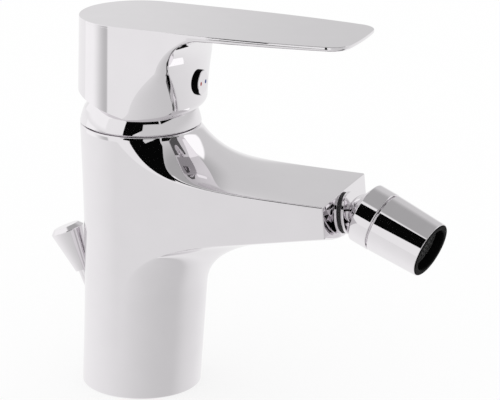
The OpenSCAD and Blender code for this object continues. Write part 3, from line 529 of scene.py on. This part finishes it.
def darken_side(plug):
    """Makes the plug's side black, up to the rounding of its bright face."""
    plug.data.materials.append(finishes["black_plastic"])
    for face in plug.data.polygons:
        across = Vector((0, face.center.y, face.center.z - PLUG_Z * MM))
        if across.length > PLUG_FACE_R * MM and abs(face.normal.x) < 0.5:
            face.material_index = 1


def build_knob():
    profile = rounded([(10, ROD_R, 0), (10, 3.3, 0.3), (27.3, 6.95, 0.5), (29, 5.25, 0.3), (29, 0, 0), (19.5, 0, 0),
                       (19.5, ROD_R, 0)])
    return new_object("knob_turned", lathe(profile, ROD_FOOT, ROD_DIR))


def build_rod():
    profile = rounded([(-36, 0, 0), (-36, ROD_R, 0.4), (19.5, ROD_R, 0), (19.5, 0, 0)])
    return new_object("rod_turned", lathe(profile, ROD_FOOT, ROD_DIR, PLAIN))


# Materials
GRAIN_DEPTH, GRAIN_FINE = 0.00002, 4.0
NOISE_LOW, NOISE_HIGH = 0.3, 0.7


def material(name):
    """A material with its nodes, links and principled shader."""
    mat = bpy.data.materials.new(name)
    mat.use_nodes = True
    nodes, links = mat.node_tree.nodes, mat.node_tree.links
    return mat, nodes, links, nodes["Principled BSDF"]


def noise(nodes, links, scale, detail=3.0):
    """Noise in the object's own space."""
    where = nodes.new("ShaderNodeTexCoord")
    tex = nodes.new("ShaderNodeTexNoise")
    tex.inputs["Scale"].default_value = scale
    tex.inputs["Detail"].default_value = detail
    links.new(where.outputs["Object"], tex.inputs["Vector"])
    return tex.outputs["Fac"]


def spread(nodes, links, value, low, high):
    """Noise turned into a number between two values."""
    node = nodes.new("ShaderNodeMapRange")
    node.inputs["From Min"].default_value = NOISE_LOW
    node.inputs["From Max"].default_value = NOISE_HIGH
    node.inputs["To Min"].default_value = low
    node.inputs["To Max"].default_value = high
    links.new(value, node.inputs["Value"])
    return node.outputs["Result"]


def shades(nodes, links, value, low, high):
    """Noise turned into a colour between two colours."""
    node = nodes.new("ShaderNodeValToRGB")
    for end, position, colour in zip(node.color_ramp.elements, (NOISE_LOW, NOISE_HIGH), (low, high)):
        end.position = position
        end.color = (*colour, 1)
    links.new(value, node.inputs["Fac"])
    return node.outputs["Color"]


def bumped(nodes, links, shader, value, strength):
    """Noise as the shader's fine texture."""
    node = nodes.new("ShaderNodeBump")
    node.inputs["Strength"].default_value = strength
    node.inputs["Distance"].default_value = GRAIN_DEPTH
    links.new(value, node.inputs["Height"])
    links.new(node.outputs["Normal"], shader.inputs["Normal"])


def surface(name, low, high, rough, scale, metal=0.0, bump=0.1, specular=0.5):
    """A procedural finish: colour and roughness vary with noise, and a finer noise gives its texture."""
    mat, nodes, links, shader = material(name)
    broad = noise(nodes, links, scale)
    links.new(shades(nodes, links, broad, low, high), shader.inputs["Base Color"])
    links.new(spread(nodes, links, broad, rough[0], rough[1]), shader.inputs["Roughness"])
    shader.inputs["Metallic"].default_value = metal
    shader.inputs["Specular IOR Level"].default_value = specular
    if bump:
        bumped(nodes, links, shader, noise(nodes, links, scale * GRAIN_FINE, 2.0), bump)
    return mat


def grey(v, green=1.0):
    """A grey, or a slightly warm one with less green."""
    return (v, v * green, v)


WARM = 0.974
finishes = {
    "chrome_body": surface("chrome_body", grey(0.795, WARM), grey(0.810, WARM), (0.015, 0.03), 90, 1.0, 0),
    "chrome_lever": surface("chrome_lever", grey(0.795, WARM), grey(0.810, WARM), (0.015, 0.03), 110, 1.0, 0),
    "chrome_trim": surface("chrome_trim", grey(0.790, WARM), grey(0.810, WARM), (0.02, 0.04), 160, 1.0, 0),
    "rubber": surface("rubber", grey(0.018), grey(0.03), (0.6, 0.75), 900, 0.0, 0.2),
    "white_plastic": surface("white_plastic", (0.72, 0.71, 0.68), (0.78, 0.77, 0.74), (0.35, 0.45), 500),
    "grey_plastic": surface("grey_plastic", grey(0.30), grey(0.36), (0.35, 0.5), 500),
    "ceramic": surface("ceramic", (0.80, 0.76, 0.68), (0.86, 0.83, 0.76), (0.12, 0.2), 400),
    "brass": surface("brass", (0.66, 0.44, 0.18), (0.76, 0.53, 0.24), (0.2, 0.34), 400, 1.0),
    "steel": surface("steel", grey(0.52), grey(0.60), (0.22, 0.34), 500, 1.0),
    "red_mark": surface("red_mark", (0.36, 0.008, 0.012), (0.46, 0.016, 0.02), (0.3, 0.4), 1500, specular=0.25),
    "blue_mark": surface("blue_mark", (0.010, 0.035, 0.24), (0.02, 0.055, 0.32), (0.3, 0.4), 1500, specular=0.25),
    "dark_screen": surface("dark_screen", grey(0.035), grey(0.065), (0.4, 0.55), 900, 0.0, 0.15, specular=0.3),
    "black_plastic": surface("black_plastic", grey(0.002), grey(0.004), (0.35, 0.5), 700, 0.0, 0.12, specular=0.01),
}


def place(obj, body, slot, *nodes):
    """Shades a piece smooth, gives it its finish and its body, and lets it stand for its nodes."""
    smooth(obj)
    obj.data.materials.clear()
    obj.data.materials.append(finishes[slot])
    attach(obj, body)
    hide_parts(*nodes)


place(build_body(), "mixer_body", "chrome_body", "body_casting")
place(build_lever(), "lever", "chrome_lever", "lever_handle")
place(build_cap(), "mixer_body", "chrome_trim", "cap")
place(build_stem(), "mixer_body", "chrome_trim", "ball_stem")
place(build_nut(), "nozzle", "chrome_trim", "nozzle_nut")
place(build_sleeve(), "nozzle", "chrome_trim", "nozzle_sleeve")
place(build_outlet(), "nozzle", "black_plastic", "outlet_ring")
plug = build_plug()
place(plug, "lever", "chrome_trim", "index_plug")
darken_side(plug)
place(build_knob(), "lift", "chrome_trim", "lift_knob")
place(build_rod(), "lift", "chrome_trim", "lift_rod")

slot_of = {part["node"]: part["material_slot"] for part in frame["record"]["subparts"]}
for name, obj in frame["nodes"].items():
    finish = finishes[slot_of[name]]
    if not obj.material_slots:
        obj.data.materials.append(finish)
    for holder in obj.material_slots:
        holder.material = finish

# Floor: white to the camera, with a pale shadow; reflections see the world in its place
FLOOR_HALF, FLOOR_WHITE = 6.0, 0.75
bm = bmesh.new()
bmesh.ops.create_grid(bm, x_segments=8, y_segments=8, size=FLOOR_HALF)
floor_mesh = bpy.data.meshes.new("floor")
bm.to_mesh(floor_mesh)
bm.free()
floor = bpy.data.objects.new("floor", floor_mesh)
scene.collection.objects.link(floor)
mat, nodes, links, shader = material("floor_white")
links.new(shades(nodes, links, noise(nodes, links, 3.0), grey(0.985), grey(0.99)), shader.inputs["Base Color"])
shader.inputs["Roughness"].default_value = 1.0
shader.inputs["Specular IOR Level"].default_value = 0.0
path = nodes.new("ShaderNodeLightPath")
share = nodes.new("ShaderNodeMath")
share.operation = "MULTIPLY"
share.inputs[1].default_value = FLOOR_WHITE
links.new(path.outputs["Is Camera Ray"], share.inputs[0])
white = nodes.new("ShaderNodeEmission")
white.inputs["Color"].default_value = (1, 1, 1, 1)
white.inputs["Strength"].default_value = 1.0
mixed = nodes.new("ShaderNodeMixShader")
links.new(share.outputs["Value"], mixed.inputs["Fac"])
links.new(shader.outputs["BSDF"], mixed.inputs[1])
links.new(white.outputs["Emission"], mixed.inputs[2])
links.new(mixed.outputs["Shader"], nodes["Material Output"].inputs["Surface"])
floor.data.materials.append(mat)
floor.visible_glossy = False


# Studio cards, which stand or lie clear of the mixer and which only polished surfaces show
BLACK, GREY, WHITE = 0.002, 0.12, 1.22
SIDE_Y, FRONT_X, CARD_LIFT = -195, 300, 0.5


def card(name, level, *corners):
    """A flat card of an even brightness, with its corners in millimetres."""
    mesh = bpy.data.meshes.new(name)
    mesh.from_pydata([Vector(c) * MM for c in corners], [], [tuple(range(len(corners)))])
    obj = bpy.data.objects.new(name, mesh)
    scene.collection.objects.link(obj)
    mat, nodes, links, shader = material(name)
    shader.inputs["Base Color"].default_value = (0, 0, 0, 1)
    shader.inputs["Specular IOR Level"].default_value = 0.0
    shader.inputs["Emission Color"].default_value = (1, 1, 1, 1)
    shader.inputs["Emission Strength"].default_value = level
    mesh.materials.append(mat)
    obj.visible_camera = obj.visible_diffuse = obj.visible_transmission = obj.visible_shadow = False


side_card = ((-26, 119), (25, 119), (100, 158), (108, 203), (340, 262), (340, 455), (5, 312), (-70, 312), (-60, 225),
             (-12, 206))
front_card = ((-150, 235), (60, 235), (60, 345), (-150, 345))
low_card = ((150, -45), (420, -45), (420, 45), (150, 45))
white_card = ((130, 55), (232, 95), (232, 215), (130, 150))
card("card_black", BLACK, *((x, SIDE_Y, z) for x, z in side_card))
card("card_front", BLACK, *((FRONT_X, y, z) for y, z in front_card))
card("card_low", GREY, *((x, y, CARD_LIFT) for x, y in low_card))
card("card_white", WHITE, *((x, y, CARD_LIFT) for x, y in white_card))

# World: white all round for the background and the soft light; polished metal sees a pale studio with
# brighter screens at its sides and a dimmer stretch overhead
world = bpy.data.worlds.new("studio")
scene.world = world
world.use_nodes = True
nodes, links = world.node_tree.nodes, world.node_tree.links
nodes.clear()


def math_node(op, a, b=None):
    """An arithmetic node on one or two numbers or sockets."""
    node = nodes.new("ShaderNodeMath")
    node.operation = op
    for k, value in enumerate((a, b)):
        if value is None:
            continue
        if isinstance(value, (int, float)):
            node.inputs[k].default_value = value
        else:
            links.new(value, node.inputs[k])
    return node.outputs["Value"]


def ramp(value, lo, hi):
    """A soft step from 0 at lo to 1 at hi."""
    node = nodes.new("ShaderNodeMapRange")
    node.interpolation_type = "SMOOTHSTEP"
    node.inputs["From Min"].default_value = lo
    node.inputs["From Max"].default_value = hi
    links.new(value, node.inputs["Value"])
    return node.outputs["Result"]


where = nodes.new("ShaderNodeTexCoord")
split = nodes.new("ShaderNodeSeparateXYZ")
links.new(where.outputs["Generated"], split.inputs["Vector"])
dir_x, dir_y, dir_z = split.outputs
flat_square = math_node("SUBTRACT", 1.0, math_node("MULTIPLY", dir_z, dir_z))
flat_len = math_node("MAXIMUM", math_node("SQRT", flat_square), 0.001)


def toward(azimuth):
    """Cosine of the angle round the vertical between a direction and an azimuth."""
    x = math_node("MULTIPLY", dir_x, math.cos(azimuth * D2R))
    y = math_node("MULTIPLY", dir_y, math.sin(azimuth * D2R))
    return math_node("DIVIDE", math_node("ADD", x, y), flat_len)


def across(azimuth):
    """Sine of the angle round the vertical from an azimuth to a direction."""
    x = math_node("MULTIPLY", dir_x, math.sin(azimuth * D2R))
    y = math_node("MULTIPLY", dir_y, math.cos(azimuth * D2R))
    return math_node("DIVIDE", math_node("SUBTRACT", y, x), flat_len)


def screen(azimuth, half, low, high, soft):
    """Mask of a panel of the studio: its middle and half width round the vertical, its lower and upper edges."""
    wide = ramp(toward(azimuth), math.cos((half + soft) * D2R), math.cos((half - soft) * D2R))
    above = ramp(dir_z, math.sin((low - soft) * D2R), math.sin((low + soft) * D2R))
    below = ramp(dir_z, math.sin((high - soft) * D2R), math.sin((high + soft) * D2R))
    return math_node("MULTIPLY", wide, math_node("MULTIPLY", above, math_node("SUBTRACT", 1.0, below)))


def blend(under, over, mask):
    """One brightness laid over another where the mask is 1."""
    node = nodes.new("ShaderNodeMix")
    node.data_type = "FLOAT"
    for k, value in ((2, under), (3, over), (0, mask)):
        if isinstance(value, (int, float)):
            node.inputs[k].default_value = value
        else:
            links.new(value, node.inputs[k])
    return node.outputs[0]


# Below and above the horizon, overhead, three side screens, and the band that the drum's side shows
low_light = math_node("ADD", math_node("MULTIPLY", toward(165), 0.16), 0.84)
low_light = math_node("ADD", low_light, math_node("MULTIPLY", ramp(toward(50), 0.5, 1.0), 0.12))
high_light = blend(0.70, 0.82, ramp(across(112.5), -0.06, 0.07))
light = blend(low_light, high_light, ramp(dir_z, -0.05, 0.2))
light = blend(light, 0.45, ramp(dir_z, 0.6, 0.9))
light = blend(light, 1.22, screen(47, 18, 26, 50, 2))
light = blend(light, 1.08, screen(186, 42, 4, 68, 5))
light = blend(light, 0.97, screen(-112, 22, 0, 60, 3))
BAND = -131
fade = blend(1.09, 0.60, ramp(across(BAND), -0.59, -0.035))
wall = blend(fade, 0.97, ramp(across(BAND), -0.01, 0.06))
light = blend(light, wall, screen(BAND, 58, -15, 1, 1))

glossy = nodes.new("ShaderNodeBackground")
links.new(light, glossy.inputs["Color"])
plain = nodes.new("ShaderNodeBackground")
plain.inputs["Color"].default_value = (1, 1, 1, 1)
path = nodes.new("ShaderNodeLightPath")
mixed = nodes.new("ShaderNodeMixShader")
links.new(path.outputs["Is Glossy Ray"], mixed.inputs["Fac"])
links.new(plain.outputs["Background"], mixed.inputs[1])
links.new(glossy.outputs["Background"], mixed.inputs[2])
out = nodes.new("ShaderNodeOutputWorld")
links.new(mixed.outputs["Shader"], out.inputs["Surface"])

# Camera at the photograph's viewing angle
CAMERA_AT, CAMERA_AHEAD = (358.8, -780.3, 353.0), (-0.3535, 0.8836, -0.3070)
CAMERA_ROLL, CAMERA_LENS = 0.70 * D2R, 163.0
camera = bpy.data.objects.new("camera", bpy.data.cameras.new("camera"))
scene.collection.objects.link(camera)
ahead = Vector(CAMERA_AHEAD).normalized()
right = ahead.cross(Vector(VERTICAL)).normalized()
up = right.cross(ahead)
c, s = math.cos(CAMERA_ROLL), math.sin(CAMERA_ROLL)
right, up = right * c + up * s, up * c - right * s
turn = Matrix((right, up, -ahead)).transposed().to_4x4()
camera.matrix_world = Matrix.Translation(Vector(CAMERA_AT) * MM) @ turn
camera.data.sensor_width = 36
camera.data.sensor_fit = "HORIZONTAL"
camera.data.lens = CAMERA_LENS
camera.data.clip_start = 0.05
camera.data.clip_end = 50
scene.camera = camera
scene.view_settings.view_transform = "Standard"
